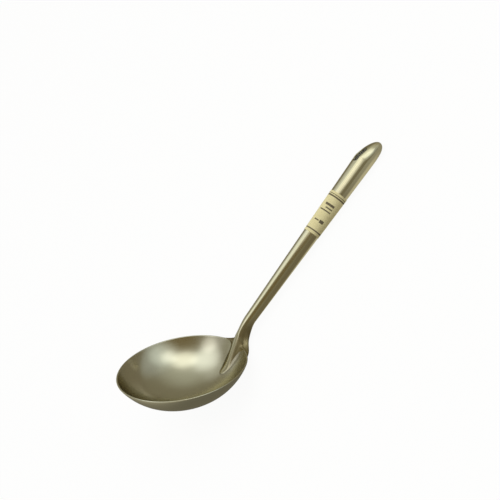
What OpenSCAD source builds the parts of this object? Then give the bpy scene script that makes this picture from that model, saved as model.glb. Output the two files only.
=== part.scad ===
// Soup ladle: a pressed bowl, a rolled hollow handle whose tongue laps into the bowl over its rim,
// the weld fillet round that tongue, and a paper band round the grip.
// It lies as it would on a table: handle along +X, bowl at -X, open side up.

/* [Bowl] */
// Outside diameter of the rim
bowl_d = 90; // [84:1:96]
// Outside radius of the curve of the bottom
bottom_r = 58; // [54:1:64]
// Outside radius of the curve of the wall
wall_r = 43; // [41:1:47]
// Slope at which the bottom's curve passes into the wall's
blend_slope = 30; // [26:1:34]
// Thickness of the bowl's sheet
sheet_t = 1.1; // [0.8:0.1:1.4]

/* [Handle] */
// Length of the straight handle, from the neck to the tip
handle_len = 152; // [130:1:180]
// Angle between the handle and the plane of the rim
rise = 37.6; // [35:0.2:40]
// Distance of the neck from the bowl's axis
neck_reach = 57; // [55:0.5:60]
// Height of the neck above the plane of the rim
neck_height = 15.6; // [14:0.2:17]
// Diameter at the neck
neck_d = 8; // [7:0.2:9]
// Largest diameter, where the nose begins
grip_d = 14.2; // [12:0.2:16]
// Wall of the rolled tube
tube_t = 1; // [0.8:0.1:1.2]
// Length of the rounded nose
nose_len = 17.5; // [15:0.5:20]
// How far the tip lies below the handle's axis
nose_drop = 2.7; // [1.5:0.1:3.5]

/* [Root] */
// Slope of the bowl where the tongue ends
tongue_slope = 29; // [28:1:36]
// Half width of the tongue where it crosses the rim
tongue_half = 6.6; // [5.6:0.1:7.2]
// Half width of the root across its ears, on the rim
flare_half = 20; // [18:0.5:22]
// Width of the weld fillet along the bowl
weld_w = 1.4; // [1:0.1:2]

/* [Hanging slot] */
// Length of the slot in the top of the nose
slot_len = 12.4; // [11:0.2:14]
// Width of the slot
slot_w = 4.8; // [4.6:0.1:5.2]
// Distance from the slot's far end to the tip
slot_to_tip = 9.4; // [8.6:0.2:11]

/* [Paper band] */
// Length of the band along the handle
band_len = 33; // [24:1:40]
// Distance from the band's upper edge to the tip
band_to_tip = 47; // [40:1:60]
// Thickness of the paper
paper_t = 0.2; // [0.15:0.05:0.3]

/* [Hidden] */

// Facets round the handle, bands along each curve of the bowl, and rings along the root
sides = 36;
bowl_bands = 30;
tongue_rings = 9;
bead_angles = [120, 75, 30, -20];
under_rings = 10;

steel = [0.74, 0.72, 0.64];
weld_steel = [0.80, 0.78, 0.70];
paper = [0.93, 0.90, 0.80];

function steps(a, b, n) = [for (i = [0:n]) a + (b - a) * i / n];
function mix(a, b, t) = a + (b - a) * t;
function heading(a) = [cos(a), sin(a)];
function across(a) = [-sin(a), cos(a)];
function flat(lists) = [for (l = lists) each l];
function bezier(p, t) =
    pow(1 - t, 3) * p[0] + 3 * t * pow(1 - t, 2) * p[1] + 3 * t * t * (1 - t) * p[2] + t * t * t * p[3];
function sorted(v) = len(v) < 2 ? v : concat(
    sorted([for (x = v) if (x < v[0]) x]), [v[0]], sorted([for (x = v) if (x > v[0]) x]));

// Bowl profile, as [radius, height] with the rim's plane at height 0, given by its slope
rim_r = bowl_d / 2;
arc_shift = bottom_r - wall_r;
rim_slope = asin((rim_r - arc_shift * sin(blend_slope)) / wall_r);
wall_c = [arc_shift * sin(blend_slope), wall_r * cos(rim_slope)];
bottom_z = wall_c[1] + arc_shift * cos(blend_slope);
function bowl_at(slope, inset) = slope < blend_slope
    ? [0, bottom_z] - (bottom_r - inset) * across(slope)
    : wall_c - (wall_r - inset) * across(slope);
bead_c = bowl_at(rim_slope, sheet_t / 2);
function bead_at(angle) = bead_c + sheet_t / 2 * heading(angle);

// Handle axis and section, by distance from the neck
nose_s = handle_len - nose_len;
neck = [neck_reach, neck_height];
function axis_at(s) = neck + s * heading(rise);
function tube_r(s) = mix(neck_d, grip_d, min(1, s / nose_s)) / 2;

// Upper and lower line and half width of the nose, drawn in by the wall for its inside
function nose_x(s, inset) = max(0, min(1, (s - nose_s) / (nose_len - 1.3 * inset)));
function upper_at(s, inset) =
    axis_at(s) + across(rise) * ((tube_r(s) - inset + nose_drop) * sqrt(1 - pow(nose_x(s, inset), 1.12)) - nose_drop);
function lower_at(s, inset) =
    axis_at(s) - across(rise) * ((tube_r(s) - inset - nose_drop) * sqrt(1 - pow(nose_x(s, inset), 5)) + nose_drop);
function half_at(s, inset) = (tube_r(s) - inset) * sqrt(1 - pow(nose_x(s, inset), 2.2));

// Half width of the hanging slot, round at both ends
slot_end = handle_len - slot_to_tip;
slot_start = slot_end - slot_len;
slot_r = slot_w / 2;
function slot_half(s) =
    let (past = max(0, slot_start + slot_r - s, s - slot_end + slot_r))
    past >= slot_r ? 0 : sqrt(slot_r * slot_r - past * past);

// Stations along the tube: straight part, slot ends and nose
tube_stations = sorted(concat(
    steps(0, nose_s, 5),
    [for (a = steps(0, 90, 4)) slot_start + slot_r * (1 - cos(a))],
    [for (a = steps(0, 90, 4)) slot_end - slot_r * (1 - cos(a))],
    [for (a = [18, 36, 48, 56, 63, 69, 75, 80, 85]) nose_s + nose_len * sin(a)]));
inner_len = handle_len - 1.3 * tube_t;
inner_stations = [for (s = tube_stations) if (s < inner_len - 0.3) s];

// One ring of the tube, open at the top where the slot is
function tube_ring(s, inset) =
    let (top = upper_at(s, inset), low = lower_at(s, inset), w = half_at(s, inset))
    let (mid = (top + low) / 2, rad = (top - low) / 2, gap = slot_half(s))
    let (lip = gap > 0 ? asin(gap / w) : 0)
    [for (j = [0:sides]) let (a = mix(lip, 360 - lip, j / sides))
        [mid[0] + rad[0] * cos(a), w * sin(a), mid[1] + rad[1] * cos(a)]];

// Upper half of a section of the root, by the angle from its crest: a round ridge with a spread foot and,
// past the fold, a web that runs out to the ear's edge
function web_share(a) = max(0, (a - web_fold) / (90 - web_fold));
function ridge_turn(a, ear) =
    let (foot = mix(web_fold, 90, ear))
    a < web_fold ? foot * a / web_fold : mix(foot, 90, web_share(a));
function half_y(a, w, ear) =
    let (t = ridge_turn(a, ear), core = min(w, neck_d / 2))
    core * sin(t) + (w - core) * pow(1 - cos(t), foot_curl) + ear_w * ear * web_share(a);
function side_of(a) = a <= 180 ? 1 : -1;
function from_crest(a) = a <= 180 ? a : 360 - a;

// One ring of the root where it sits on the bowl: ridge and webs above, the bowl's own surface below
function on_seat(seat, y) = [sqrt(seat[0] * seat[0] - y * y), seat[1]];
function arch_at(a, seat, w, crest, ear) =
    let (y = half_y(a, w, ear), lift = web_high * ear * pow(1 - web_share(a), 2))
    let (p = mix(on_seat(seat, y), crest, mix(lift, 1, cos(ridge_turn(a, ear)))))
    [p[0], y, p[1]];
function saddle_point(a, seat, w, crest, ear) =
    let (y = (w + ear_w * ear) * sin(a), p = on_seat(seat, y))
    a <= 90 ? arch_at(a, seat, w, crest, ear) : [p[0], y, p[1]];
function saddle_ring(seat, w, crest, ear) =
    [for (j = [0:sides]) let (a = 360 * j / sides, p = saddle_point(from_crest(a), seat, w, crest, ear))
        [p[0], side_of(a) * p[1], p[2]]];

// One ring between rim and neck: the webs drop to the lowest line as they leave the rim, and their edges
// follow the rim's curve
function neck_point(a, low, top, w, ear, share, bow) =
    let (mid = mix(low, top, share), edge = mix(mid, low, ear), q = web_share(a))
    let (y = a <= 90 ? half_y(a, w, ear) : (w + ear_w * ear) * sin(a))
    let (p = a <= 90 ? mix(mix(mid, edge, q * (2 - q)), top, cos(ridge_turn(a, ear))) : mix(edge, low, -cos(a)))
    [p[0] - bow * (rim_r - sqrt(rim_r * rim_r - y * y)), y, p[1]];
function neck_ring(low, top, w, ear, share, bow) =
    [for (j = [0:sides]) let (a = 360 * j / sides, p = neck_point(from_crest(a), low, top, w, ear, share, bow))
        [p[0], side_of(a) * p[1], p[2]]];

// Crest of the tongue from its end to the neck; shares of it lie over the rim's inner and outer side
tip_high = 0.4;
tip_half = 1.2;
tip_pull = 9;
neck_pull = 17;
rim_share = 0.55;
bead_share = 0.72;
tongue_end = bowl_at(tongue_slope, sheet_t) + tip_high * across(tongue_slope);
crest_end = upper_at(0, 0);
crest_line = [tongue_end, tongue_end + tip_pull * heading(tongue_slope),
              crest_end - neck_pull * heading(rise), crest_end];

// Underside from the rim to the neck: a chin that dips outside the rim, clear of the table
chin_angle = -36;
chin_reach = 8.2;
chin_pull = 7;
under_start = bead_at(bead_angles[len(bead_angles) - 1]);
under_end = lower_at(0, 0);
under_line = [under_start, under_start + chin_reach * heading(chin_angle),
              under_end - chin_pull * heading(rise), under_end];

// How the ridge's foot widens along the tongue and narrows from the rim to the neck
tongue_growth = 0.55;
ridge_fall = 4;
foot_curl = 2.5;

// Ears: their share at the rim's inner side, how they grow up to it and across it and shrink outside it,
// where and how high the web meets the ridge there and at the neck, and how the edges lose the rim's curve
ear_w = flare_half - tongue_half;
rim_ear = 0.25;
ear_growth = 12;
bead_growth = 0.7;
ear_fall = 5;
web_fold = 60;
web_high = 0.16;
neck_share = 0.5;
bow_fall = 2;

// Each seat of the root on the bowl: point of the bowl's profile, half width of the ridge, crest, ear
seats = concat(
    [for (f = steps(0, 1, tongue_rings))
        [bowl_at(mix(tongue_slope, rim_slope, f), sheet_t), mix(tip_half, tongue_half, pow(f, tongue_growth)),
         bezier(crest_line, f * rim_share), rim_ear * pow(f, ear_growth)]],
    [for (i = [0:len(bead_angles) - 1]) let (f = (i + 1) / len(bead_angles))
        [bead_at(bead_angles[i]), tongue_half,
         bezier(crest_line, mix(rim_share, bead_share, f)), mix(rim_ear, 1, pow(f, bead_growth))]]);
root_rings = concat(
    [for (q = seats) saddle_ring(q[0], q[1], q[2], q[3])],
    [for (i = [1:under_rings - 1]) let (f = i / under_rings)
        neck_ring(bezier(under_line, f), bezier(crest_line, mix(bead_share, 1, f)),
                  mix(neck_d / 2, tongue_half, pow(1 - f, ridge_fall)), pow(1 - f, ear_fall),
                  mix(web_high, neck_share, f * (2 - f)), pow(1 - f, bow_fall))]);

// Lying pose: the bowl's wall and the underside of the grip touch the table
rest_ball = axis_at(nose_s);
rest_r = grip_d / 2;
rest_line = rest_ball - wall_c;
rest_tilt = atan2(rest_line[1], rest_line[0]) + asin((wall_r - rest_r) / norm(rest_line));
function laid_x(p) = p[0] * cos(rest_tilt) + p[1] * sin(rest_tilt);
function laid_z(p) = p[1] * cos(rest_tilt) - p[0] * sin(rest_tilt);
floor_z = laid_z(wall_c) - wall_r;
bowl_x = laid_x([-wall_c[0], wall_c[1]]) - wall_r;
tip_x = laid_x(lower_at(handle_len, 0));
module laid() {
    translate([-(bowl_x + tip_x) / 2, 0, -floor_z])
        rotate([0, rest_tilt, 0])
            children();
}

// Pressed sheet bowl with a round rim
module bowl() {
    profile = concat(
        [for (a = steps(0, rim_slope, bowl_bands)) bowl_at(a, 0)],
        [for (a = steps(rim_slope - 90, rim_slope + 90, 8)) bead_at(a)],
        [for (a = steps(rim_slope, 0, bowl_bands)) bowl_at(a, sheet_t)]);
    color(steel) laid() rotate_extrude($fn = 144) polygon(profile);
}

// Rolled tube: root over the rim, straight taper, closed nose with its slot, hollow from the neck up
module handle() {
    outer = concat(root_rings, [for (s = tube_stations) tube_ring(s, 0)]);
    inner = [for (s = inner_stations) tube_ring(s, tube_t)];
    row = sides + 1;
    n_out = len(outer);
    n_in = len(inner);
    first_tube = len(root_rings);
    tip_p = lower_at(handle_len, 0);
    hollow_p = lower_at(inner_len, tube_t);
    root_p = (outer[0][0] + outer[0][sides / 2]) / 2;
    cap_p = axis_at(0);
    points = concat(flat(outer), flat(inner),
        [root_p, [tip_p[0], 0, tip_p[1]], [cap_p[0], 0, cap_p[1]], [hollow_p[0], 0, hollow_p[1]]]);
    extra = (n_out + n_in) * row;
    slots = concat([for (r = root_rings) 0], [for (s = tube_stations) slot_half(s)]);
    // A closed ring's last point is its first
    function o(i, j) = i * row + (j == sides && slots[i] == 0 ? 0 : j);
    function n(i, j) = (n_out + i) * row + (j == sides && slots[first_tube + i] == 0 ? 0 : j);
    function slotted(i) = slots[first_tube + i] > 0 || slots[first_tube + i + 1] > 0;
    skin = [for (i = [0:n_out - 2], j = [0:sides - 1]) [o(i, j), o(i, j + 1), o(i + 1, j + 1), o(i + 1, j)]];
    hollow = [for (i = [0:n_in - 2], j = [0:sides - 1]) [n(i, j), n(i + 1, j), n(i + 1, j + 1), n(i, j + 1)]];
    ends = flat([for (j = [0:sides - 1]) [
        [extra, o(0, j + 1), o(0, j)],
        [o(n_out - 1, j), o(n_out - 1, j + 1), extra + 1],
        [extra + 2, n(0, j), n(0, j + 1)],
        [n(n_in - 1, j), extra + 3, n(n_in - 1, j + 1)]]]);
    slot_walls = flat([for (i = [0:n_in - 2]) if (slotted(i)) let (k = first_tube + i) [
        [o(k, 0), o(k + 1, 0), n(i + 1, 0), n(i, 0)],
        [o(k + 1, sides), o(k, sides), n(i, sides), n(i + 1, sides)]]]);
    color(steel) laid() polyhedron(points, concat(skin, hollow, ends, slot_walls), convexity = 6);
}

// Weld fillet from just inside the rim down one side of the tongue, round its end and up the other side
module root_weld() {
    // The fillet runs out to this share of its size over its last rings at the rim
    run_out = 0.2;
    run_rings = 3;
    last = tongue_rings - 1;
    function size_at(i) = min(1, mix(run_out, 1, (last - i) / run_rings));
    // Arch angles that the fillet covers, as steps from the foot
    climb = [0, 20, 35];
    function side_section(i, turn) =
        let (seat = seats[i][0], k = size_at(i), toe = seats[i][1] + ear_w * seats[i][3] + k * weld_w)
        concat([[sqrt(seat[0] * seat[0] - toe * toe), turn * toe, seat[1]]],
            [for (a = climb) let (p = arch_at(90 - k * a, seat, seats[i][1], seats[i][2], seats[i][3]))
                [p[0], turn * p[1], p[2]]]);
    end_seat = seats[0][0];
    end_toe = bowl_at(tongue_slope - weld_w / bottom_r * 180 / PI, sheet_t);
    end_section = concat([[end_toe[0], 0, end_toe[1]]],
        [for (a = climb) let (p = mix(end_seat, seats[0][2], sin(a))) [p[0], 0, p[1]]]);
    sections = concat(
        [for (i = [last:-1:0]) side_section(i, 1)],
        [end_section],
        [for (i = [0:last]) side_section(i, -1)]);
    m = len(climb) + 1;
    bead = flat([for (i = [0:len(sections) - 2], j = [0:m - 1]) let (k = (j + 1) % m) [
        [i * m + j, (i + 1) * m + j, (i + 1) * m + k],
        [i * m + j, (i + 1) * m + k, i * m + k]]]);
    tail = (len(sections) - 1) * m;
    caps = [[for (j = [0:m - 1]) j], [for (j = [m - 1:-1:0]) tail + j]];
    color(weld_steel) laid() polyhedron(flat(sections), concat(bead, caps), convexity = 6);
}

// Paper sleeve on the straight taper
module paper_band() {
    top_s = handle_len - band_to_tip;
    low_s = top_s - band_len;
    low_p = axis_at(low_s);
    over = 1;
    color(paper) laid()
        translate([low_p[0], 0, low_p[1]]) rotate([0, 90 - rise, 0])
            difference() {
                cylinder(h = band_len, r1 = tube_r(low_s) + paper_t, r2 = tube_r(top_s) + paper_t, $fn = 72);
                translate([0, 0, -over])
                    cylinder(h = band_len + 2 * over, r1 = tube_r(low_s - over), r2 = tube_r(top_s + over), $fn = 72);
            }
}

bowl();
handle();
root_weld();
paper_band();
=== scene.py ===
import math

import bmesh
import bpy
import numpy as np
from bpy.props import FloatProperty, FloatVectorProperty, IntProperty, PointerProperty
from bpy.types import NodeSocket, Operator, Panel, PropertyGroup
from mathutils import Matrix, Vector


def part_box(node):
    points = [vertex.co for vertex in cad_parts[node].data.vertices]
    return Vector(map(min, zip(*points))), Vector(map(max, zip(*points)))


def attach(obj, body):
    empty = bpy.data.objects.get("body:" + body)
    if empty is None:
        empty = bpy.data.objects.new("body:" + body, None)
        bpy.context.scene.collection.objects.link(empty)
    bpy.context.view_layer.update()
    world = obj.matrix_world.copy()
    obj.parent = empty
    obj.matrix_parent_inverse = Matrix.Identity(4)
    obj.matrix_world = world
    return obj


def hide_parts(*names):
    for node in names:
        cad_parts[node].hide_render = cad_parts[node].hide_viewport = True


bl_info = {
    "name": "Soup ladle",
    "version": (1, 0, 0),
    "blender": (4, 5, 0),
    "location": "View3D > Sidebar > Ladle",
    "description": "Dresses a soup ladle: spun steel bowl, hollow handle, ground weld and paper band",
    "category": "Add Mesh",
}

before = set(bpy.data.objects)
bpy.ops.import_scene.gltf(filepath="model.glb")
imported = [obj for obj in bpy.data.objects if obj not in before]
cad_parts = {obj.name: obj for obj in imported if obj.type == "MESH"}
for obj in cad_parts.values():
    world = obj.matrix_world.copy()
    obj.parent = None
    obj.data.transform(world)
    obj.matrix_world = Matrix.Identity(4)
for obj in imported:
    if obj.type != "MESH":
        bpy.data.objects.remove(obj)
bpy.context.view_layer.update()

BODY = "root"
MERGE_DISTANCE = 2e-6
FIT_TOLERANCE = 0.0006
SHARP_EDGE = math.radians(45)
INSIDE = "inside"
PRINT_MAP = "print"
# Painted shade: steel seen reflected in steel is given a darker colour than the plain colour
REFLECTED_PAINTED_SHADE = (0.65, 0.61, 0.50)
# Steel seen edge on
EDGE_TINT = (0.85, 0.83, 0.74)
SATIN_DEPTH = 0.00002
# Lines of the polish: how much they change the tone, and the coarse ones that count as scratches
LINE_TONE = 0.14
COARSE_LINES = 0.35
SCRATCH_SHARE = (0.66, 0.72)
SCRATCH_TONE = 0.06
SCRATCH_DEPTH = 0.5
HAZE_SHARE = 0.6
RAW_ROUGHNESS = 0.8
# Beside the polished crest the root is ground dull and darkened by painted shade,
# both in full within a share of the ground part's radius
CREST_HALF = (0.0014, 0.0030)
GROUND_CORE = 0.5
# Printed marks: share of the band's length, half height, share of its turn, half width
PRINT_MARKS = (
    (0.945, 0.008, 0.5, 1.0),
    (0.90, 0.017, 0.5, 1.0),
    (0.075, 0.014, 0.5, 1.0),
    (0.70, 0.026, 0.49, 0.085),
    (0.62, 0.014, 0.47, 0.065),
    (0.55, 0.014, 0.51, 0.105),
    (0.30, 0.036, 0.44, 0.040),
    (0.30, 0.014, 0.54, 0.045))
INK_EDGE = 0.004
INK_SOAK = 0.012
# Fibres that break up the ink, and how much of it stays on them
INK_FIBRES = (0.25, 0.55)
INK_COVER = (0.72, 0.95)
# Where the paper is aged: near its edges, measured from its middle, and in clouds
AGED_EDGE = (0.485, 0.5)
AGED_CLOUD = (0.35, 0.75)
AGED_SHADE = (0.86, 0.82, 0.74)
AGED_MOST = 0.35
PAPER_ROUGHNESS = (0.78, 0.95)
PAPER_SHINE = 0.3
PAPER_BUMP = 0.35
PAPER_DEPTH = 0.00004


def length(name, description, metres):
    return FloatProperty(name=name, description=description, default=metres, unit="LENGTH", precision=5)


def angle(name, description, degrees):
    return FloatProperty(
        name=name, description=description, default=math.radians(degrees), subtype="ANGLE")


def factor(name, description, value):
    return FloatProperty(name=name, description=description, default=value, subtype="FACTOR")


def colour(name, description, rgb):
    return FloatVectorProperty(
        name=name, description=description, default=rgb, size=3, subtype="COLOR", min=0.0, max=2.0)


class LadleBowlSizes(PropertyGroup):
    """Sizes of the pressed bowl"""

    rim_d: length("Rim diameter", "Outside diameter of the rim", 0.090)
    bottom_r: length("Bottom radius", "Outside radius of the curve of the bottom", 0.058)
    wall_r: length("Wall radius", "Outside radius of the curve of the wall", 0.043)
    blend_slope: angle("Blend slope", "Slope at which the bottom's curve passes into the wall's", 30.0)
    sheet_t: length("Sheet", "Thickness of the bowl's sheet", 0.0011)
    segments: IntProperty(name="Segments", description="Steps round the bowl", default=256, min=24)


class LadleHandleSizes(PropertyGroup):
    """Sizes of the rolled handle and its hanging slot"""

    reach: length("Length", "Straight handle from the neck to the tip", 0.152)
    rise: angle("Rise", "Angle between the handle and the plane of the rim", 37.6)
    neck_reach: length("Neck reach", "Distance of the neck from the bowl's axis", 0.057)
    neck_height: length("Neck height", "Height of the neck above the plane of the rim", 0.0156)
    neck_d: length("Neck diameter", "Diameter at the neck", 0.008)
    grip_d: length("Grip diameter", "Largest diameter, where the nose begins", 0.0142)
    tube_t: length("Tube wall", "Wall of the rolled tube", 0.001)
    nose_len: length("Nose", "Length of the rounded nose", 0.0175)
    nose_drop: length("Nose drop", "How far the tip lies below the handle's axis", 0.0027)
    slot_len: length("Slot length", "Length of the hanging slot", 0.0124)
    slot_w: length("Slot width", "Width of the hanging slot", 0.0048)
    slot_to_tip: length("Slot to tip", "Distance from the slot's far end to the tip", 0.0094)
    sides: IntProperty(name="Sides", description="Steps round the tube", default=96, min=24)


class LadleRootSizes(PropertyGroup):
    """Sizes of the handle's root and its weld"""

    tongue_slope: angle("Tongue slope", "Slope of the bowl where the tongue ends", 29.0)
    tongue_half: length("Tongue half width", "Half width of the tongue inside the rim", 0.0066)
    flare_half: length("Flare half width", "Half width of the root across its ears, on the rim", 0.020)
    tip_half: length("Tongue tip", "Half width of the tongue at its end", 0.0012)
    tip_high: length("Tongue tip height", "Height of the tongue at its end", 0.0004)
    weld_w: length("Weld width", "Width of the weld fillet along the bowl", 0.0014)


class LadleBandSizes(PropertyGroup):
    """Sizes of the paper band"""

    band_len: length("Band length", "Length of the band along the handle", 0.033)
    band_to_tip: length("Band to tip", "Distance from the band's upper edge to the tip", 0.047)
    paper_t: length("Paper", "Thickness of the paper", 0.0002)
    overlap: factor("Overlap", "Glued overlap as a share of a turn", 0.08)


class LadleFinish(PropertyGroup):
    """Colours of the steel and the paper"""

    steel: colour("Steel", "Colour of the bowl's satin steel", (0.60, 0.58, 0.435))
    handle: colour("Handle", "Colour of the handle's satin steel", (0.57, 0.535, 0.36))
    weld: colour("Weld", "Colour of the ground weld", (0.42, 0.395, 0.285))
    raw: colour("Raw tube", "Colour of the unpolished inside of the handle", (0.62, 0.61, 0.54))
    cream: colour("Paper", "Colour of the paper", (0.58, 0.525, 0.285))
    ink: colour("Ink", "Colour of the printed rules", (0.06, 0.045, 0.028))


class LadleStudio(PropertyGroup):
    """Camera and studio"""

    aim: FloatVectorProperty(
        name="Aim", description="Point the camera looks at", default=(0.0088, 0.0316, 0.020),
        subtype="XYZ", unit="LENGTH")
    distance: length("Distance", "Camera to aim point", 0.98459)
    azimuth: angle("Azimuth", "Camera's turn round the ladle", -4.568)
    elevation: angle("Elevation", "Camera's height above the table as an angle", 34.197)
    roll: angle("Roll", "Camera's turn about its own axis", -52.086)
    lens: FloatProperty(
        name="Lens", description="Focal length on a 36 mm sensor", default=100.8, unit="CAMERA")
    floor_half: length("Floor", "Half the width of the floor", 3.0)
    floor_tone: colour("Floor tone", "Colour of the pale floor", (0.98, 0.98, 0.975))
    floor_dull: colour("Floor in the bowl", "The floor as the bowl shows it", (0.195, 0.183, 0.152))
    floor_dull_mid: colour("Floor in the shank", "The floor as the shank shows it", (0.23, 0.201, 0.142))
    floor_dull_tip: colour("Floor in the grip", "The floor as the grip shows it", (0.435, 0.42, 0.365))
    floor_edge: colour("Pale floor", "The floor under the handle and far off", (0.72, 0.68, 0.58))
    floor_glow: factor("Floor glow", "Share of the floor that shows no shadow", 0.965)


class LadleSettings(PropertyGroup):
    """All sizes and colours of the ladle"""

    bowl: PointerProperty(type=LadleBowlSizes)
    handle: PointerProperty(type=LadleHandleSizes)
    root: PointerProperty(type=LadleRootSizes)
    band: PointerProperty(type=LadleBandSizes)
    finish: PointerProperty(type=LadleFinish)
    studio: PointerProperty(type=LadleStudio)


def heading(a):
    return np.array([math.cos(a), math.sin(a)])


def across(a):
    return np.array([-math.sin(a), math.cos(a)])


def mix(a, b, t):
    return a + (b - a) * t


def even(steps, end=1.0):
    """Even steps from 0 to an end"""
    return np.linspace(0.0, end, steps + 1)


def bezier(p, t):
    u = 1.0 - t
    return u ** 3 * p[0] + 3 * t * u * u * p[1] + 3 * t * t * u * p[2] + t ** 3 * p[3]


def in_space(p, y=0.0):
    """A point of the plane of symmetry, moved aside by y"""
    return np.array([p[0], y, p[1]])


class LadleForm:
    """Lines of the ladle in its plane of symmetry

    A point is its reach from the bowl's axis and its height above the rim's plane.
    """

    RIM_SHARE = 0.55
    BEAD_SHARE = 0.72
    BEAD_END = math.radians(-20)
    CHIN_ANGLE = math.radians(-36)
    CHIN_REACH = 0.0082
    CHIN_PULL = 0.007
    TIP_PULL = 0.009
    NECK_PULL = 0.017
    TONGUE_GROWTH = 0.55
    RIDGE_FALL = 4.0
    FOOT_CURL = 2.5
    RIM_EAR = 0.25
    EAR_GROWTH = 12.0
    BEAD_GROWTH = 0.7
    EAR_FALL = 5.0
    WEB_FOLD = math.radians(60)
    WEB_HIGH = 0.16
    UPPER_POWER = 1.12
    LOWER_POWER = 5.0
    SIDE_POWER = 2.2
    HOLLOW_SHARE = 1.3
    TONGUE_RINGS = 36
    BEAD_RINGS = 14
    NECK_RINGS = 40
    NECK_MIDDLE = 0.5
    BOW_FALL = 2
    TUBE_RINGS = 40
    NOSE_RINGS = 32
    SLOT_RINGS = 12
    STATION_DIGITS = 7

    def __init__(self, settings):
        b, h, r = settings.bowl, settings.handle, settings.root
        self.bowl, self.handle, self.root, self.band = b, h, r, settings.band
        shift = b.bottom_r - b.wall_r
        self.rim_slope = math.asin((b.rim_d / 2 - shift * math.sin(b.blend_slope)) / b.wall_r)
        self.wall_c = np.array([shift * math.sin(b.blend_slope), b.wall_r * math.cos(self.rim_slope)])
        self.bottom_c = np.array([0.0, self.wall_c[1] + shift * math.cos(b.blend_slope)])
        self.neck = np.array([h.neck_reach, h.neck_height])
        self.nose_s = h.reach - h.nose_len
        self.slot_end = h.reach - h.slot_to_tip
        self.slot_start = self.slot_end - h.slot_len
        self.hollow_end = h.reach - self.HOLLOW_SHARE * h.tube_t
        tongue_end = self.bowl_at(r.tongue_slope, b.sheet_t) + r.tip_high * across(r.tongue_slope)
        crest_end = self.upper_at(0.0, 0.0)
        self.crest_line = [
            tongue_end,
            tongue_end + self.TIP_PULL * heading(r.tongue_slope),
            crest_end - self.NECK_PULL * heading(h.rise),
            crest_end]
        under_start = self.bead_at(self.BEAD_END)
        under_end = self.lower_at(0.0, 0.0)
        self.under_line = [
            under_start,
            under_start + self.CHIN_REACH * heading(self.CHIN_ANGLE),
            under_end - self.CHIN_PULL * heading(h.rise),
            under_end]
        self.set_lying_pose()

    def set_lying_pose(self):
        """The bowl's wall and the underside of the grip touch the table"""
        b, h = self.bowl, self.handle
        line = self.axis_at(self.nose_s) - self.wall_c
        tilt = math.atan2(line[1], line[0]) + math.asin((b.wall_r - h.grip_d / 2) / np.linalg.norm(line))
        turn = Matrix.Rotation(tilt, 4, "Y")

        def laid(p):
            return turn @ Vector(in_space(p))

        floor_z = laid(self.wall_c).z - b.wall_r
        back_x = laid((-self.wall_c[0], self.wall_c[1])).x - b.wall_r
        tip_x = laid(self.lower_at(h.reach, 0.0)).x
        self.tilt = tilt
        self.laid = Matrix.Translation((-(back_x + tip_x) / 2, 0.0, -floor_z)) @ turn

    def bowl_at(self, slope, inset):
        if slope < self.bowl.blend_slope:
            return self.bottom_c - (self.bowl.bottom_r - inset) * across(slope)
        return self.wall_c - (self.bowl.wall_r - inset) * across(slope)

    def bead_at(self, turn):
        middle = self.bowl_at(self.rim_slope, self.bowl.sheet_t / 2)
        return middle + self.bowl.sheet_t / 2 * heading(turn)

    def axis_at(self, s):
        return self.neck + s * heading(self.handle.rise)

    def tube_r(self, s):
        return mix(self.handle.neck_d, self.handle.grip_d, min(1.0, s / self.nose_s)) / 2

    def nose_x(self, s, inset):
        span = self.handle.nose_len - self.HOLLOW_SHARE * inset
        return min(1.0, max(0.0, (s - self.nose_s) / span))

    def skin_at(self, s, inset, side, power):
        drop = side * self.handle.nose_drop
        crown = math.sqrt(1 - self.nose_x(s, inset) ** power)
        high = (self.tube_r(s) - inset + drop) * crown - drop
        return self.axis_at(s) + across(self.handle.rise) * side * high

    def upper_at(self, s, inset):
        return self.skin_at(s, inset, 1.0, self.UPPER_POWER)

    def lower_at(self, s, inset):
        return self.skin_at(s, inset, -1.0, self.LOWER_POWER)

    def half_at(self, s, inset):
        return (self.tube_r(s) - inset) * math.sqrt(1 - self.nose_x(s, inset) ** self.SIDE_POWER)

    def slot_half(self, s):
        r = self.handle.slot_w / 2
        past = max(0.0, self.slot_start + r - s, s - self.slot_end + r)
        return 0.0 if past > r - MERGE_DISTANCE else math.sqrt(r * r - past * past)

    def seats(self, tongue_steps, bead_steps):
        """Where the root sits on the bowl: the bowl's profile, the ridge's half width, crest, ear"""
        r = self.root
        found = []
        for f in even(tongue_steps):
            slope = mix(r.tongue_slope, self.rim_slope, f)
            half = mix(r.tip_half, r.tongue_half, f ** self.TONGUE_GROWTH)
            crest = bezier(self.crest_line, f * self.RIM_SHARE)
            ear = self.RIM_EAR * f ** self.EAR_GROWTH
            found.append((self.bowl_at(slope, self.bowl.sheet_t), half, crest, ear))
        for f in even(bead_steps)[1:]:
            turn = mix(self.rim_slope + math.pi / 2, self.BEAD_END, f)
            crest = bezier(self.crest_line, mix(self.RIM_SHARE, self.BEAD_SHARE, f))
            ear = mix(self.RIM_EAR, 1.0, f ** self.BEAD_GROWTH)
            found.append((self.bead_at(turn), r.tongue_half, crest, ear))
        return found

    def web_share(self, a):
        return max(0.0, (a - self.WEB_FOLD) / (math.pi / 2 - self.WEB_FOLD))

    def ridge_turn(self, a, ear):
        foot = mix(self.WEB_FOLD, math.pi / 2, ear)
        if a < self.WEB_FOLD:
            return foot * a / self.WEB_FOLD
        return mix(foot, math.pi / 2, self.web_share(a))

    def ear_w(self):
        return self.root.flare_half - self.root.tongue_half

    def half_y(self, a, half, ear):
        """Half width by the angle from the crest: a round ridge, its spread foot and the ear's web"""
        turn = self.ridge_turn(a, ear)
        core = min(half, self.handle.neck_d / 2)
        foot = (half - core) * (1 - math.cos(turn)) ** self.FOOT_CURL
        return core * math.sin(turn) + foot + self.ear_w() * ear * self.web_share(a)

    def on_seat(self, seat, y):
        return np.array([math.sqrt(seat[0] ** 2 - y ** 2), seat[1]])

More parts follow.
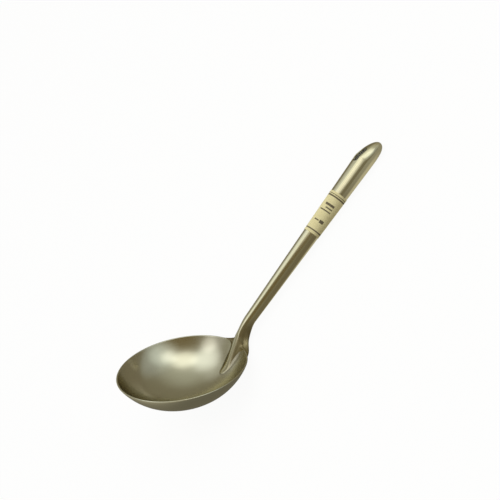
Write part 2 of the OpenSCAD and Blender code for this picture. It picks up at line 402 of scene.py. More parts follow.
    def arch_at(self, a, seat, half, crest, ear):
        y = self.half_y(a, half, ear)
        lift = self.WEB_HIGH * ear * (1 - self.web_share(a)) ** 2
        share = mix(lift, 1.0, math.cos(self.ridge_turn(a, ear)))
        return in_space(mix(self.on_seat(seat, y), crest, share), y)

    def saddle_point(self, a, seat, half, crest, ear):
        if a <= math.pi / 2:
            return self.arch_at(a, seat, half, crest, ear)
        y = (half + self.ear_w() * ear) * math.sin(a)
        return in_space(self.on_seat(seat, y), y)

    def neck_point(self, a, low, top, half, ear, share, bow):
        """Past the rim the webs drop to the lowest line, and their edges follow the rim's curve"""
        mid = mix(low, top, share)
        edge = mix(mid, low, ear)
        if a <= math.pi / 2:
            q = self.web_share(a)
            y = self.half_y(a, half, ear)
            p = mix(mix(mid, edge, q * (2 - q)), top, math.cos(self.ridge_turn(a, ear)))
        else:
            y = (half + self.ear_w() * ear) * math.sin(a)
            p = mix(edge, low, -math.cos(a))
        rim = self.bowl.rim_d / 2
        return np.array([p[0] - bow * (rim - math.sqrt(rim * rim - y * y)), y, p[1]])

    def closed_ring(self, point, sides, *given):
        """Both sides of a section, from its crest down one side and up the other"""
        near = [point(a, *given) for a in even(sides // 2, math.pi)]
        return near + [p * (1.0, -1.0, 1.0) for p in near[-2::-1]]

    def root_rings(self, sides):
        h, r = self.handle, self.root
        seats = self.seats(self.TONGUE_RINGS, self.BEAD_RINGS)
        rings = [self.closed_ring(self.saddle_point, sides, *q) for q in seats]
        for f in even(self.NECK_RINGS)[1:-1]:
            low = bezier(self.under_line, f)
            top = bezier(self.crest_line, mix(self.BEAD_SHARE, 1.0, f))
            half = mix(h.neck_d / 2, r.tongue_half, (1 - f) ** self.RIDGE_FALL)
            ear = (1 - f) ** self.EAR_FALL
            share = mix(self.WEB_HIGH, self.NECK_MIDDLE, f * (2 - f))
            bow = (1 - f) ** self.BOW_FALL
            rings.append(self.closed_ring(self.neck_point, sides, low, top, half, ear, share, bow))
        return rings

    def tube_stations(self):
        """Distances from the neck: straight taper, close together at the slot's ends and on the nose"""
        r = self.handle.slot_w / 2
        quarter = even(self.SLOT_RINGS, math.pi / 2)
        straight = even(self.TUBE_RINGS, self.nose_s)
        near = self.slot_start + r * (1 - np.cos(quarter))
        far = self.slot_end - r * (1 - np.cos(quarter))
        turns = even(self.NOSE_RINGS, math.pi / 2)[:-1]
        nose = self.nose_s + self.handle.nose_len * np.sin(turns)
        return sorted(set(np.round(np.concatenate([straight, near, far, nose]), self.STATION_DIGITS)))

    def tube_ring(self, s, inset, sides):
        top, low, half = self.upper_at(s, inset), self.lower_at(s, inset), self.half_at(s, inset)
        mid, rad = (top + low) / 2, (top - low) / 2
        gap = self.slot_half(s)
        lip = math.asin(gap / half) if gap > 0 else 0.0
        return [(mid[0] + rad[0] * math.cos(a), half * math.sin(a), mid[1] + rad[1] * math.cos(a))
                for a in np.linspace(lip, 2 * math.pi - lip, sides + 1)]


def form():
    return LadleForm(bpy.context.scene.ladle)


class Weave:
    """Builds a mesh from rows of points"""

    def __init__(self):
        self.points = []
        self.faces = []
        self.inside = []
        self.prints = []

    def row(self, points):
        start = len(self.points)
        self.points.extend(tuple(p) for p in points)
        return range(start, len(self.points))

    def strip(self, a, b, flip=False):
        for i in range(len(a) - 1):
            quad = (a[i], a[i + 1], b[i + 1], b[i])
            self.faces.append(quad[::-1] if flip else quad)

    def skin(self, rows, flip=False):
        for a, b in zip(rows, rows[1:]):
            self.strip(a, b, flip)

    def fan(self, row, point, flip=False):
        tip = self.row([point])[0]
        for i in range(len(row) - 1):
            tri = (row[i], row[i + 1], tip)
            self.faces.append(tri[::-1] if flip else tri)

    def mesh(self, name, matrix):
        data = bpy.data.meshes.new(name)
        data.from_pydata(self.points, [], self.faces)
        if self.inside:
            mark = data.attributes.new(INSIDE, "FLOAT", "POINT")
            for i in self.inside:
                mark.data[i].value = 1.0
        if self.prints:
            layer = data.uv_layers.new(name=PRINT_MAP)
            for loop in data.loops:
                layer.data[loop.index].uv = self.prints[loop.vertex_index]
        return clean(data, matrix)


def clean(data, matrix):
    """Closes seams and poles, turns faces outwards and puts the mesh in its place"""
    work = bmesh.new()
    work.from_mesh(data)
    bmesh.ops.remove_doubles(work, verts=work.verts, dist=MERGE_DISTANCE)
    bmesh.ops.dissolve_degenerate(work, edges=work.edges, dist=MERGE_DISTANCE)
    bmesh.ops.recalc_face_normals(work, faces=work.faces)
    bmesh.ops.transform(work, matrix=matrix, verts=work.verts)
    for face in work.faces:
        face.smooth = True
    for edge in work.edges:
        edge.smooth = not (edge.is_manifold and edge.calc_face_angle() > SHARP_EDGE)
    work.to_mesh(data)
    work.free()
    data.update()
    return data


def linked(name, data):
    made = bpy.data.objects.new(name, data)
    bpy.context.scene.collection.objects.link(made)
    return made


def place(data, material, node):
    """Links a finished mesh as the piece that stands for a node"""
    low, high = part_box(node)
    points = np.array([v.co for v in data.vertices])
    off = np.abs([points.min(0) - low, points.max(0) - high]).max()
    if off > FIT_TOLERANCE:
        raise RuntimeError(f"{data.name} is {off} m off the box of {node}")
    piece = linked(data.name, data)
    data.materials.clear()
    data.materials.append(material)
    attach(piece, BODY)
    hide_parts(node)


class Graph:
    """Short calls for building a node tree"""

    def __init__(self, tree):
        self.tree = tree

    def node(self, kind, inputs=(), **settings):
        """New node, with inputs by name or in order that are values or the outputs of other nodes"""
        made = self.tree.nodes.new(kind)
        for name, value in settings.items():
            setattr(made, name, value)
        for key, value in inputs.items() if isinstance(inputs, dict) else enumerate(inputs):
            if isinstance(value, NodeSocket):
                self.tree.links.new(value, made.inputs[key])
            else:
                made.inputs[key].default_value = value
        return made

    def math(self, operation, *values, clamp=False):
        return self.node("ShaderNodeMath", values, operation=operation, use_clamp=clamp).outputs[0]

    def times(self, a, b):
        return self.math("MULTIPLY", a, b)

    def minus(self, a, b):
        return self.math("SUBTRACT", a, b)

    def vector(self, operation, *values):
        made = self.node("ShaderNodeVectorMath", values, operation=operation)
        return made.outputs["Value" if operation in ("LENGTH", "DOT_PRODUCT") else "Vector"]

    def here(self):
        return self.node("ShaderNodeTexCoord").outputs["Object"]

    def parts(self, vector):
        return self.node("ShaderNodeSeparateXYZ", [vector]).outputs

    def blend(self, share, a, b, kind="MIX"):
        return self.node("ShaderNodeMix", {"Factor": share, "A": a, "B": b},
                         data_type="RGBA", blend_type=kind).outputs["Result"]

    def remap(self, value, low, high, to_low=0.0, to_high=1.0, smooth=False):
        return self.node("ShaderNodeMapRange", {
            "Value": value, "From Min": low, "From Max": high, "To Min": to_low, "To Max": to_high},
            interpolation_type="SMOOTHSTEP" if smooth else "LINEAR").outputs["Result"]

    def noise(self, vector, scale, detail=2.0, roughness=0.5):
        return self.node("ShaderNodeTexNoise", {
            "Vector": vector, "Scale": scale, "Detail": detail, "Roughness": roughness}).outputs["Fac"]

    def pair(self, kind, first, second, *share):
        """Two shaders mixed or added"""
        return self.node(kind, [*share, first.outputs[0], second.outputs[0]]).outputs[0]


def node_group(name, kind, inputs, outputs):
    """New tree with named sockets; gives the tree, its graph and its inputs"""
    tree = bpy.data.node_groups.new(name, kind)
    for in_out, rows in (("INPUT", inputs), ("OUTPUT", outputs)):
        for label, socket, *default in rows:
            made = tree.interface.new_socket(label, in_out=in_out, socket_type="NodeSocket" + socket)
            if default:
                made.default_value = default[0]
    g = Graph(tree)
    return tree, g, g.node("NodeGroupInput").outputs


def rgba(rgb, shade=(1.0, 1.0, 1.0)):
    return (*(a * b for a, b in zip(rgb, shade)), 1.0)


def satin_group():
    """Fine lines of a satin polish along X of the given vector, with faint marks of handling"""
    name = "Satin polish"
    if name in bpy.data.node_groups:
        return bpy.data.node_groups[name]
    tree, g, given = node_group(
        name, "ShaderNodeTree",
        [("Vector", "Vector"), ("Place", "Vector"), ("Colour", "Color", (0.8, 0.8, 0.8, 1.0)),
         ("Stretch", "Float", 60.0), ("Line scale", "Float", 3500.0), ("Roughness", "Float", 0.25),
         ("Spread", "Float", 0.08)],
        [("Colour", "Color"), ("Roughness", "Float"), ("Height", "Float")])
    squeeze = g.node("ShaderNodeCombineXYZ", {
        "X": g.math("DIVIDE", 1.0, given["Stretch"]), "Y": 1.0, "Z": 1.0}).outputs[0]
    lines_at = g.vector("MULTIPLY", given["Vector"], squeeze)
    lines = g.noise(lines_at, given["Line scale"], detail=3.0, roughness=0.6)
    coarse = g.times(given["Line scale"], COARSE_LINES)
    scratches = g.remap(g.noise(lines_at, coarse, detail=1.0), *SCRATCH_SHARE)
    smudge = g.noise(given["Place"], scale=55.0, detail=3.0, roughness=0.55)
    haze = g.noise(given["Place"], scale=170.0)
    tone = g.math("ADD", 1.0 - LINE_TONE / 2, g.times(LINE_TONE, lines))
    tone = g.minus(tone, g.times(SCRATCH_TONE, scratches))
    toned = g.blend(1.0, given["Colour"], tone, "MULTIPLY")
    rough = given["Roughness"]
    for marks, share in ((smudge, 1.0), (haze, HAZE_SHARE), (lines, 1.0)):
        spread = g.times(given["Spread"], share)
        rough = g.math("MULTIPLY_ADD", g.minus(marks, 0.5), spread, rough)
    height = g.minus(lines, g.times(SCRATCH_DEPTH, scratches))
    g.node("NodeGroupOutput", {"Colour": toned, "Roughness": rough, "Height": height})
    return tree


def new_material(name):
    material = bpy.data.materials.new(name)
    material.use_nodes = True
    material.node_tree.nodes.clear()
    return material, Graph(material.node_tree)


def finish_material(g, base, roughness, metallic, height, bump, bump_distance, plain):
    """Principled surface with a bump and with plain values that are the same all over"""
    normal = g.node("ShaderNodeBump", {"Strength": bump, "Distance": bump_distance, "Height": height})
    surface = g.node("ShaderNodeBsdfPrincipled", {
        "Base Color": base, "Roughness": roughness, "Metallic": metallic, "Normal": normal.outputs[0],
        **plain})
    g.node("ShaderNodeOutputMaterial", {"Surface": surface.outputs[0]})


def satin_steel(name, tint, stretch, line_scale, roughness, spread, bump, spun=False, raw=None,
                ground=None):
    """Satin stainless steel, lined along the handle or, when spun, round the bowl's axis

    Round a middle it is ground dull beside the crest and darkened there by painted shade,
    and it is raw where the mesh is marked as the inside of the tube. Seen reflected in steel,
    its colour is darkened as painted shade.
    """
    material, g = new_material(name)
    place_at = along = g.here()
    if spun:
        shape = form()
        from_axis = g.vector("SUBTRACT", place_at, tuple(shape.laid.translation))
        own = g.node("ShaderNodeMapping", {"Vector": from_axis, "Rotation": (0.0, -shape.tilt, 0.0)})
        x, y, z = g.parts(own.outputs[0])
        reach = g.math("SQRT", g.math("ADD", g.times(x, x), g.times(y, y)))
        round_axis = g.times(g.math("ARCTAN2", y, x), shape.bowl.rim_d / 2)
        along = g.node("ShaderNodeCombineXYZ", {"X": round_axis, "Y": reach, "Z": z}).outputs[0]
    satin = g.node("ShaderNodeGroup", {
        "Vector": along, "Place": place_at, "Colour": rgba(tint), "Stretch": stretch,
        "Line scale": line_scale, "Roughness": roughness, "Spread": spread}, node_tree=satin_group())
    colour_out, rough, metal = satin.outputs["Colour"], satin.outputs["Roughness"], 1.0
    if ground:
        # Ground zone: rougher steel, with painted shade that darkens the colour beside the crest
        middle, radius, dull, shade = ground
        off = g.vector("LENGTH", g.vector("SUBTRACT", place_at, middle))
        beside = g.math("ABSOLUTE", g.parts(place_at)[1])
        around = g.remap(off, radius, GROUND_CORE * radius, smooth=True)
        near = g.times(around, g.remap(beside, *CREST_HALF))
        rough = g.math("MAXIMUM", rough, g.times(near, dull))
        colour_out = g.blend(near, colour_out, rgba(tint, shade))
    # Painted shade: darker colour where the steel is seen reflected in steel
    again = g.remap(g.node("ShaderNodeLightPath").outputs["Glossy Depth"], 0.0, 1.0)
    colour_out = g.blend(again, colour_out, rgba(tint, REFLECTED_PAINTED_SHADE))
    if raw:
        inside = g.node("ShaderNodeAttribute", attribute_name=INSIDE).outputs["Fac"]
        colour_out = g.blend(inside, colour_out, rgba(raw))
        rough = g.math("MAXIMUM", rough, g.times(inside, RAW_ROUGHNESS))
        metal = g.minus(1.0, inside)
    finish_material(g, colour_out, rough, metal, satin.outputs["Height"], bump, SATIN_DEPTH,
                    {"Specular Tint": rgba(EDGE_TINT)})
    return material


def band_paper(name, cream, ink):
    """Uncoated paper with plain printed rules and bars, on a map that runs round and along the band"""
    material, g = new_material(name)
    place_at = g.here()
    across_band, along_band, _ = g.parts(g.node("ShaderNodeUVMap", uv_map=PRINT_MAP).outputs[0])
    fibres = g.noise(place_at, scale=2600.0, detail=4.0, roughness=0.7)
    cloud = g.noise(place_at, scale=240.0, detail=3.0, roughness=0.6)
    soak = g.times(g.minus(g.noise(place_at, scale=5200.0), 0.5), INK_SOAK)

    def stretch(line, middle, half):
        """Soft-edged stretch of a line"""
        off = g.math("ADD", g.math("ABSOLUTE", g.minus(line, middle)), soak)
        return g.remap(off, half + INK_EDGE, half - INK_EDGE)

    printed = 0.0
    for v, half_v, u, half_u in PRINT_MARKS:
        mark = g.times(stretch(along_band, v, half_v), stretch(across_band, u, half_u))
        printed = g.math("MAXIMUM", printed, mark)
    printed = g.times(printed, g.remap(fibres, *INK_FIBRES, *INK_COVER))
    edge = g.remap(g.math("ABSOLUTE", g.minus(along_band, 0.5)), *AGED_EDGE, to_high=AGED_MOST)
    aged = g.math("ADD", edge, g.remap(cloud, *AGED_CLOUD, to_high=AGED_MOST), clamp=True)
    sheet = g.blend(aged, rgba(cream), rgba(cream, AGED_SHADE))
    colour_out = g.blend(printed, sheet, rgba(ink))
    rough = g.remap(fibres, 0.0, 1.0, *PAPER_ROUGHNESS)
    finish_material(g, colour_out, rough, 0.0, fibres, PAPER_BUMP, PAPER_DEPTH,
                    {"Specular IOR Level": PAPER_SHINE})
    return material


def lathe_tree():
    """Turns a profile curve round Z: one row of points for each point of the curve"""
    tree, g, given = node_group(
        "Lathe", "GeometryNodeTree",
        [("Profile", "Geometry"), ("Segments", "Int", 128), ("Seam", "Float", MERGE_DISTANCE),
         ("Finish", "Material")],
        [("Shell", "Geometry")])
    profile = given["Profile"]
    count = g.node("GeometryNodeAttributeDomainSize", [profile], component="CURVE").outputs[0]
    columns = g.math("ADD", given["Segments"], 1.0)
    grid = g.node("GeometryNodeMeshGrid", {
        "Size X": 1.0, "Size Y": 1.0, "Vertices X": columns, "Vertices Y": count})
    place_at = g.node("GeometryNodeInputPosition").outputs[0]
    x, y, _ = g.parts(place_at)
    turn = g.times(g.math("ADD", x, 0.5), 2 * math.pi)
    step = g.math("ROUND", g.times(g.math("ADD", y, 0.5), g.minus(count, 1.0)))
    sample = g.node("GeometryNodeSampleIndex", {"Geometry": profile, "Value": place_at, "Index": step},
                    data_type="FLOAT_VECTOR", domain="POINT")
    turned = g.node("ShaderNodeVectorRotate", {
        "Vector": sample.outputs[0], "Angle": turn}, rotation_type="Z_AXIS")
    shell = grid.outputs["Mesh"]
    for kind, inputs in (
            ("SetPosition", {"Position": turned.outputs[0]}),
            ("MergeByDistance", {"Distance": given["Seam"]}),
            ("RealizeInstances", {}),
            ("SetMaterial", {"Material": given["Finish"]})):
        shell = g.node("GeometryNode" + kind, {"Geometry": shell, **inputs}).outputs[0]
    g.node("NodeGroupOutput", {"Shell": shell})
    return tree


def turn_on_lathe(name, profile, segments, material):
    """Plain mesh of a profile, given as points of radius and height, turned round Z"""
    line = bpy.data.curves.new(name + "_profile", "CURVE")
    line.dimensions = "3D"
    spline = line.splines.new("POLY")
    spline.points.add(len(profile) - 1)
    for point, (radius, height) in zip(spline.points, profile):
        point.co = (radius, 0.0, height, 1.0)
    holder = linked(name + "_profile", line)
    tree = lathe_tree()
    modifier = holder.modifiers.new("Lathe", "NODES")
    modifier.node_group = tree
    values = {"Segments": segments, "Finish": material}
    for item in tree.interface.items_tree:
        if item.name in values:
            modifier[item.identifier] = values[item.name]
    graph = bpy.context.evaluated_depsgraph_get()
    data = bpy.data.meshes.new_from_object(holder.evaluated_get(graph), depsgraph=graph)
    data.name = name
    holder.modifiers.remove(modifier)
    bpy.data.objects.remove(holder)
    bpy.data.curves.remove(line)
    return data


class LADLE_OT_bowl(Operator):
    """Spun shell with a rounded rim"""

    bl_idname = "ladle.bowl"
    bl_label = "Bowl"

    WALL_STEPS = 89
    RIM_POINTS = 17
    POLISH = dict(stretch=220.0, line_scale=2600.0, roughness=0.21, spread=0.06, bump=0.10)

    def execute(self, context):
        shape = form()
        slopes = even(self.WALL_STEPS, shape.rim_slope)
        quarter = math.pi / 2
        turns = np.linspace(shape.rim_slope - quarter, shape.rim_slope + quarter, self.RIM_POINTS)
        profile = [shape.bowl_at(a, 0.0) for a in slopes]
        profile += [shape.bead_at(a) for a in turns[1:-1]]
        profile += [shape.bowl_at(a, shape.bowl.sheet_t) for a in slopes[::-1]]
        steel = satin_steel("bowl_steel", context.scene.ladle.finish.steel, spun=True, **self.POLISH)
        data = turn_on_lathe("bowl_shell", profile, shape.bowl.segments, steel)
        place(clean(data, shape.laid), steel, "bowl")
        return {"FINISHED"}


class LADLE_OT_handle(Operator):
    """Rolled tube with its root over the rim, slanted nose and hanging slot"""

    bl_idname = "ladle.handle"
    bl_label = "Handle"

    LIP_STEPS = 6
    LIP_BULGE = 0.00025
    HOLLOW_SPARE = 0.0003
    POLISH = dict(stretch=90.0, line_scale=3200.0, roughness=0.15, spread=0.05, bump=0.12)
    GROUND_R = 0.022
    GROUND_DULL = 0.44
    # Painted shade: how much the colour beside the root's crest is darkened
    GROUND_PAINTED_SHADE = (0.57, 0.52, 0.42)

    def execute(self, context):
        shape = form()
        sides = shape.handle.sides
        stations = shape.tube_stations()
        hollow = [s for s in stations if s < shape.hollow_end - self.HOLLOW_SPARE]
        weave = Weave()
        root = [weave.row(r) for r in shape.root_rings(sides)]
        tube = [weave.row(shape.tube_ring(s, 0.0, sides)) for s in stations]
        inside = [weave.row(shape.tube_ring(s, shape.handle.tube_t, sides // 2)) for s in hollow]
        weave.skin(root + tube)
        weave.skin(inside, flip=True)
        weave.inside = [i for row in inside for i in row]
        first = [weave.points[i] for i in root[0]]
        weave.fan(root[0], np.mean([first[0], first[sides // 2]], axis=0), flip=True)
        weave.fan(tube[-1], in_space(shape.lower_at(shape.handle.reach, 0.0)))
        weave.fan(inside[0], in_space(shape.axis_at(0.0)))
        weave.fan(inside[-1], in_space(shape.lower_at(shape.hollow_end, shape.handle.tube_t)), flip=True)
        self.add_lips(weave, shape, hollow, tube, inside)
        finish = context.scene.ladle.finish
        saddle = tuple(shape.laid @ Vector(in_space(shape.bead_at(0.0))))
        steel = satin_steel("handle_steel", finish.handle, raw=finish.raw, **self.POLISH,
                            ground=(saddle, self.GROUND_R, self.GROUND_DULL, self.GROUND_PAINTED_SHADE))
        place(weave.mesh("handle_tube", shape.laid), steel, "handle")
        return {"FINISHED"}

    def add_lips(self, weave, shape, hollow, tube, inside):
        """Rounded edge of the slot, from the outer skin to the inner one"""
        for side, turn in ((0, -1.0), (-1, 1.0)):
            rows = []
            for i, s in enumerate(hollow):
                outer, inner = (np.array(weave.points[row[side]]) for row in (tube[i], inside[i]))
                gap = shape.slot_half(s)
                bulge = turn * min(self.LIP_BULGE, gap)
                rows.append((gap, weave.row(
                    mix(outer, inner, q) + np.array([0.0, bulge * math.sin(math.pi * q), 0.0])
                    for q in even(self.LIP_STEPS))))
            for (gap_a, a), (gap_b, b) in zip(rows, rows[1:]):
                if gap_a > 0 or gap_b > 0:
                    weave.strip(a, b, flip=side == 0)


class LADLE_OT_weld(Operator):
    """Ground weld fillet round the tongue"""

    bl_idname = "ladle.weld"
    bl_label = "Weld"

    CLIMB = math.radians(35)
    HOLLOW = 0.55
    STEPS = 8
    RIM_RINGS = 4
    RUN_OUT = 0.2
    RUN_RINGS = 12
    POLISH = dict(stretch=6.0, line_scale=1800.0, roughness=0.24, spread=0.08, bump=0.25)

    def execute(self, context):
        shape = form()
        seats = shape.seats(shape.TONGUE_RINGS, 0)[:-self.RIM_RINGS]
        sizes = [min(1.0, mix(self.RUN_OUT, 1.0, i / self.RUN_RINGS)) for i in range(len(seats))]
        weave = Weave()
        right, left = ([self.section(shape, q, size, turn) for q, size in zip(seats, sizes[::-1])]
                       for turn in (1.0, -1.0))
        end_slope = shape.root.tongue_slope - shape.root.weld_w / shape.bowl.bottom_r
        end_toe = shape.bowl_at(end_slope, shape.bowl.sheet_t)
        foot, _, crest, _ = seats[0]
        top = mix(foot, crest, math.sin(self.CLIMB))
        end = self.loop(*map(in_space, (end_toe, foot, top)))
        rows = [weave.row(r) for r in right[::-1] + [end] + left]
        weave.skin(rows)
        for row in (rows[0], rows[-1]):
            weave.faces.append(tuple(row)[:-1])
        steel = satin_steel("weld_steel", context.scene.ladle.finish.weld, **self.POLISH)
        place(weave.mesh("root_fillet", shape.laid), steel, "root_weld")
        return {"FINISHED"}

    def section(self, shape, seat, size, turn):
        """Section at a seat, at a share of its full size"""
        profile, half, _, ear = seat
        toe_y = half + shape.ear_w() * ear + size * shape.root.weld_w
        toe = in_space(shape.on_seat(profile, toe_y), turn * toe_y)
        mirror = np.array([1.0, turn, 1.0])
        foot, top = (mirror * shape.arch_at(math.pi / 2 - a, *seat) for a in (0.0, size * self.CLIMB))
        return self.loop(toe, foot, top)

    def loop(self, toe, foot, top):
        """Hollow curve from the bowl up the tongue, and straight back by the foot"""
        t = even(self.STEPS)[:, None]
        pull = mix((toe + top) / 2, foot, self.HOLLOW)
        curve = (1 - t) ** 2 * toe + 2 * t * (1 - t) * pull + t * t * top
        return [*curve, foot, toe]


class LADLE_OT_band(Operator):
    """Paper strip wrapped round the grip, glued on itself at the back"""

    bl_idname = "ladle.band"
    bl_label = "Paper band"

    SEAM = math.radians(125)
    ALONG = 48
    AROUND = 144
    # A little less than one sheet, so that the overlap lies clear of its start
    LAYER = 0.99
    RAMP = 0.03
    CURL = 0.00005
    EDGE = 0.12
    WAVES = 3
    WAVE_SLANT = 0.3

    def execute(self, context):
        shape = form()
        band = shape.band
        top_s = shape.handle.reach - band.band_to_tip
        turns = even(self.AROUND, 1.0 + band.overlap)
        shares = even(self.ALONG)
        weave = Weave()
        outer, inner = [], []
        for v in shares:
            s = top_s - band.band_len * (1 - v)
            for rows, layer in ((outer, self.LAYER), (inner, 0.0)):
                rows.append(weave.row(self.point(shape, s, u, v, layer) for u in turns))
        weave.skin(outer)
        weave.skin(inner, flip=True)
        weave.strip(outer[0], inner[0], flip=True)
        weave.strip(outer[-1], inner[-1])
        for side, flip in ((0, False), (-1, True)):
            weave.strip([r[side] for r in outer], [r[side] for r in inner], flip)
        weave.prints = [(u / (1 + band.overlap), v) for v in shares for _ in range(2) for u in turns]
        finish = context.scene.ladle.finish
        paper = band_paper("band_paper", finish.cream, finish.ink)
        place(weave.mesh("paper_wrap", shape.laid), paper, "paper_band")
        return {"FINISHED"}

    def point(self, shape, s, u, v, layer):
        """A point of the strip, lifted over its own start and a little off the tube at its edges"""
        band = shape.band
        lift = np.clip((u - 1.0) / self.RAMP + 1.0, 0.0, 1.0)
        near_edge = max(0.0, 1.0 - min(v, 1.0 - v) / self.EDGE)
        wave = 0.5 + 0.5 * math.sin(2 * math.pi * (self.WAVES * u + self.WAVE_SLANT * v))
        radius = shape.tube_r(s) + band.paper_t * (layer + lift) + self.CURL * near_edge ** 2 * wave
        a = self.SEAM + 2 * math.pi * u
        middle = shape.axis_at(s) + across(shape.handle.rise) * radius * math.cos(a)
        return in_space(middle, radius * math.sin(a))


def toward(a, e):
    """Direction by the angle round from -Y towards +X and the angle above the horizon"""
    return Vector((math.sin(a) * math.cos(e), -math.cos(a) * math.cos(e), math.sin(e)))


class LADLE_OT_stage(Operator):
    """Pale floor, soft studio light and camera"""

    bl_idname = "ladle.stage"
    bl_label = "Stage"

    ROOM = (0.265, 0.24, 0.175)
    # Plain white light on the pieces and the floor
    DAYLIGHT = 0.85
    FILL_SIZE = 1.2
    FILL_POWER = 9.0
    FILL_PLACE = (0.1, -0.10, 1.3)
    GLOW_SIDES = 48
    # Share of its reach at which a light close by begins to fade
    GLOW_FADE = 0.9
    FAR_CLIP = 20.0
    # Zones of the floor as it shows in the steel, each from its edge to where it is full
    PAST_BOWL = (-0.06, -0.02)
    BELOW_GRIP = (0.05, 0.11)
    CLOSE_TO_GRIP = (0.14, 0.10)
    UNDER_HANDLE = (0.0065, 0.001)
    UNDER_SPREAD = 0.08
    UNDER_TIP = (0.12, 0.105)
    FAR_LEFT = (-0.12, -0.30)
    FAR_BEHIND = (0.05, 0.25)
    NOT_RIGHT = (0.18, 0.08)
    # The room's dark side: azimuth, elevation, spread in degrees, and colour
    DARK_SIDE = (13.0, 50.0, 38.0, (0.215, 0.165, 0.08))
    # Soft lights far off, seen in the steel: azimuth, elevation, spread in degrees, and colour
    FAR_GLOWS = (
        (58.0, 10.0, 44.0, (0.16, 0.20, 0.25)),
        (98.0, 59.0, 45.0, (0.24, 0.27, 0.27)),
        (271.0, 76.0, 17.0, (0.67, 0.67, 0.72)),
        (165.0, 47.0, 18.0, (0.26, 0.28, 0.30)),
        (215.0, 40.0, 24.0, (0.11, 0.12, 0.12)),
        (255.0, 60.0, 22.0, (0.24, 0.25, 0.29)),
        (200.0, 18.0, 32.0, (0.28, 0.31, 0.37)),
        (285.0, 25.0, 40.0, (0.22, 0.23, 0.24)))
    # Soft lights close by, seen in the steel: middle, radius, colour, and how far off they fade
    NEAR_GLOWS = (
        ((0.11, -0.12, 0.22), 0.08, (0.74, 0.74, 0.78), 9.0),
        ((0.24, -0.10, 0.61), 0.26, (1.08, 1.09, 1.10), 9.0),
        ((-0.01, 0.13, 0.51), 0.25, (0.87, 0.92, 1.02), 9.0),
        ((0.32, -0.34, 0.34), 0.33, (0.39, 0.44, 0.47), 9.0),
        ((0.26, -0.13, 0.18), 0.12, (0.92, 0.95, 0.99), 0.33),
        ((0.26, -0.012, 0.21), 0.085, (0.70, 0.72, 0.74), 0.33),
        ((0.28, 0.01, 0.06), 0.15, (0.20, 0.19, 0.17), 0.26),
        ((0.04, 0.09, 0.12), 0.06, (0.36, 0.40, 0.48), 0.17),
        ((0.10, 0.09, 0.12), 0.06, (0.14, 0.15, 0.18), 0.17),
        ((0.105, -0.108, 0.12), 0.06, (0.36, 0.36, 0.36), 0.17))

    def execute(self, context):
        studio = context.scene.ladle.studio
        self.add_floor(studio)
        self.add_world(context.scene)
        self.add_lights()
        self.add_camera(context.scene, studio)
        context.scene.view_settings.view_transform = "Standard"
        return {"FINISHED"}

    def add_floor(self, studio):
        """Pale to the camera with a faint shadow, and dull where it shows in the steel"""
        weave = Weave()
        half = studio.floor_half
        weave.skin([weave.row([(x, y, 0.0) for x in (-half, half)]) for y in (-half, half)])
        floor = linked("floor", weave.mesh("floor", Matrix.Identity(4)))
        material, g = new_material("floor_paper")
        path = g.node("ShaderNodeLightPath").outputs
        seen = path["Is Camera Ray"]
        plain = g.node("ShaderNodeBsdfDiffuse", {"Color": rgba(studio.floor_tone)})
        x, y, _ = g.parts(g.here())

        def soft_edge(value, span):
            return g.remap(value, *span, smooth=True)

        past_bowl = soft_edge(x, self.PAST_BOWL)
        dull = g.blend(past_bowl, rgba(studio.floor_dull), rgba(studio.floor_dull_mid))
        close = g.remap(path["Ray Length"], *self.CLOSE_TO_GRIP)
        by_grip = g.times(soft_edge(x, self.BELOW_GRIP), close)
        dull = g.blend(by_grip, dull, rgba(studio.floor_dull_tip))
        aside = g.minus(g.math("ABSOLUTE", y), g.times(x, self.UNDER_SPREAD))
        under = g.times(soft_edge(aside, self.UNDER_HANDLE), g.remap(x, *self.UNDER_TIP))
        behind = g.times(soft_edge(y, self.FAR_BEHIND), g.remap(x, *self.NOT_RIGHT))
        away = g.math("MAXIMUM", soft_edge(x, self.FAR_LEFT), behind)
        dull = g.blend(g.math("MAXIMUM", under, away), dull, rgba(studio.floor_edge))
        bright = g.node("ShaderNodeEmission", {"Color": g.blend(seen, dull, rgba(studio.floor_tone))})
        unlit = g.minus(1.0, g.times(seen, 1.0 - studio.floor_glow))
        surface = g.pair("ShaderNodeMixShader", plain, bright, unlit)
        g.node("ShaderNodeOutputMaterial", [surface])
        floor.data.materials.append(material)

    def add_world(self, scene):
        """Plain white light, but what shows in the steel is a dim room with soft lights far off"""
        world = bpy.data.worlds.new("studio")
        world.use_nodes = True
        world.node_tree.nodes.clear()
        g = Graph(world.node_tree)
        path = g.node("ShaderNodeLightPath").outputs
        ray = g.node("ShaderNodeTexCoord").outputs["Generated"]

        def facing(degrees):
            azimuth, elevation, spread = map(math.radians, degrees)
            along = g.vector("DOT_PRODUCT", ray, tuple(toward(azimuth, elevation)))
            return g.remap(along, math.cos(spread), 1.0, smooth=True)

        *dark_at, dark = self.DARK_SIDE
        room = g.blend(facing(dark_at), rgba(self.ROOM), rgba(dark))
        for *glow_at, rgb in self.FAR_GLOWS:
            room = g.blend(facing(glow_at), room, rgba(rgb), "ADD")
        pale = g.node("ShaderNodeBackground", {"Color": (1.0, 1.0, 1.0, 1.0), "Strength": self.DAYLIGHT})
        dome = g.node("ShaderNodeBackground", {"Color": room})
        both = g.pair("ShaderNodeMixShader", pale, dome, path["Is Glossy Ray"])
        g.node("ShaderNodeOutputWorld", {"Surface": both})
        scene.world = world

    def add_lights(self):
        """Soft round lights that only show in the steel, and a broad fill that only lights"""
        for i, (middle, radius, rgb, reach) in enumerate(self.NEAR_GLOWS):
            self.add_glow(f"glow_{i}", Vector(middle), radius, rgb, reach)
        data = bpy.data.lights.new("fill", "AREA")
        data.size = self.FILL_SIZE
        data.energy = self.FILL_POWER
        fill = linked("fill", data)
        fill.location = self.FILL_PLACE
        fill.visible_glossy = False

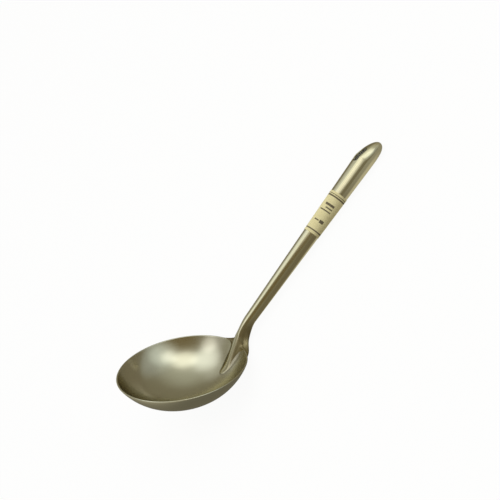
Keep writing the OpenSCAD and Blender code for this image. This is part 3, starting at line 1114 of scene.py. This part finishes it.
    def add_glow(self, name, middle, radius, rgb, reach):
        """Disc turned to the ladle, clear at its edge and brightest in the middle"""
        turn = middle.to_track_quat("Z", "Y").to_matrix().to_4x4()
        work = bmesh.new()
        bmesh.ops.create_circle(work, cap_ends=True, segments=self.GLOW_SIDES, radius=radius,
                                matrix=Matrix.Translation(middle) @ turn)
        data = bpy.data.meshes.new(name)
        work.to_mesh(data)
        work.free()
        material, g = new_material(name)
        off = g.vector("SUBTRACT", g.here(), tuple(middle))
        fade = g.remap(g.vector("DOT_PRODUCT", off, off), radius * radius, 0.0, smooth=True)
        far = g.node("ShaderNodeLightPath").outputs["Ray Length"]
        strength = g.times(fade, g.remap(far, reach, self.GLOW_FADE * reach))
        light = g.node("ShaderNodeEmission", {"Color": rgba(rgb), "Strength": strength})
        clear = g.node("ShaderNodeBsdfTransparent")
        surface = g.pair("ShaderNodeAddShader", clear, light)
        g.node("ShaderNodeOutputMaterial", [surface])
        data.materials.append(material)
        glow = linked(name, data)
        glow.visible_camera = glow.visible_diffuse = glow.visible_shadow = False

    def add_camera(self, scene, studio):
        data = bpy.data.cameras.new("camera")
        data.lens = studio.lens
        data.clip_end = self.FAR_CLIP
        camera = linked("camera", data)
        back = toward(studio.azimuth, studio.elevation)
        level = toward(studio.azimuth + math.pi / 2, 0.0)
        right = level * math.cos(studio.roll) + back.cross(level) * math.sin(studio.roll)
        turn = Matrix((right, back.cross(right), back)).transposed().to_4x4()
        camera.matrix_world = Matrix.Translation(Vector(studio.aim) + back * studio.distance) @ turn
        scene.camera = camera


PIECES = (LADLE_OT_bowl, LADLE_OT_handle, LADLE_OT_weld, LADLE_OT_band, LADLE_OT_stage)


class LADLE_PT_panel(Panel):
    """Lists the pieces of the ladle"""

    bl_idname = "LADLE_PT_panel"
    bl_label = "Soup ladle"
    bl_space_type = "VIEW_3D"
    bl_region_type = "UI"
    bl_category = "Ladle"

    def draw(self, context):
        for piece in PIECES:
            self.layout.operator(piece.bl_idname)


CLASSES = (LadleBowlSizes, LadleHandleSizes, LadleRootSizes, LadleBandSizes, LadleFinish, LadleStudio,
           LadleSettings, *PIECES, LADLE_PT_panel)


def register():
    for item in CLASSES:
        bpy.utils.register_class(item)
    bpy.types.Scene.ladle = PointerProperty(type=LadleSettings)


def unregister():
    del bpy.types.Scene.ladle
    for item in reversed(CLASSES):
        bpy.utils.unregister_class(item)


def main():
    register()
    bpy.ops.ladle.stage()
    bpy.ops.ladle.bowl()
    bpy.ops.ladle.handle()
    bpy.ops.ladle.weld()
    bpy.ops.ladle.band()


if __name__ == "__main__":
    main()
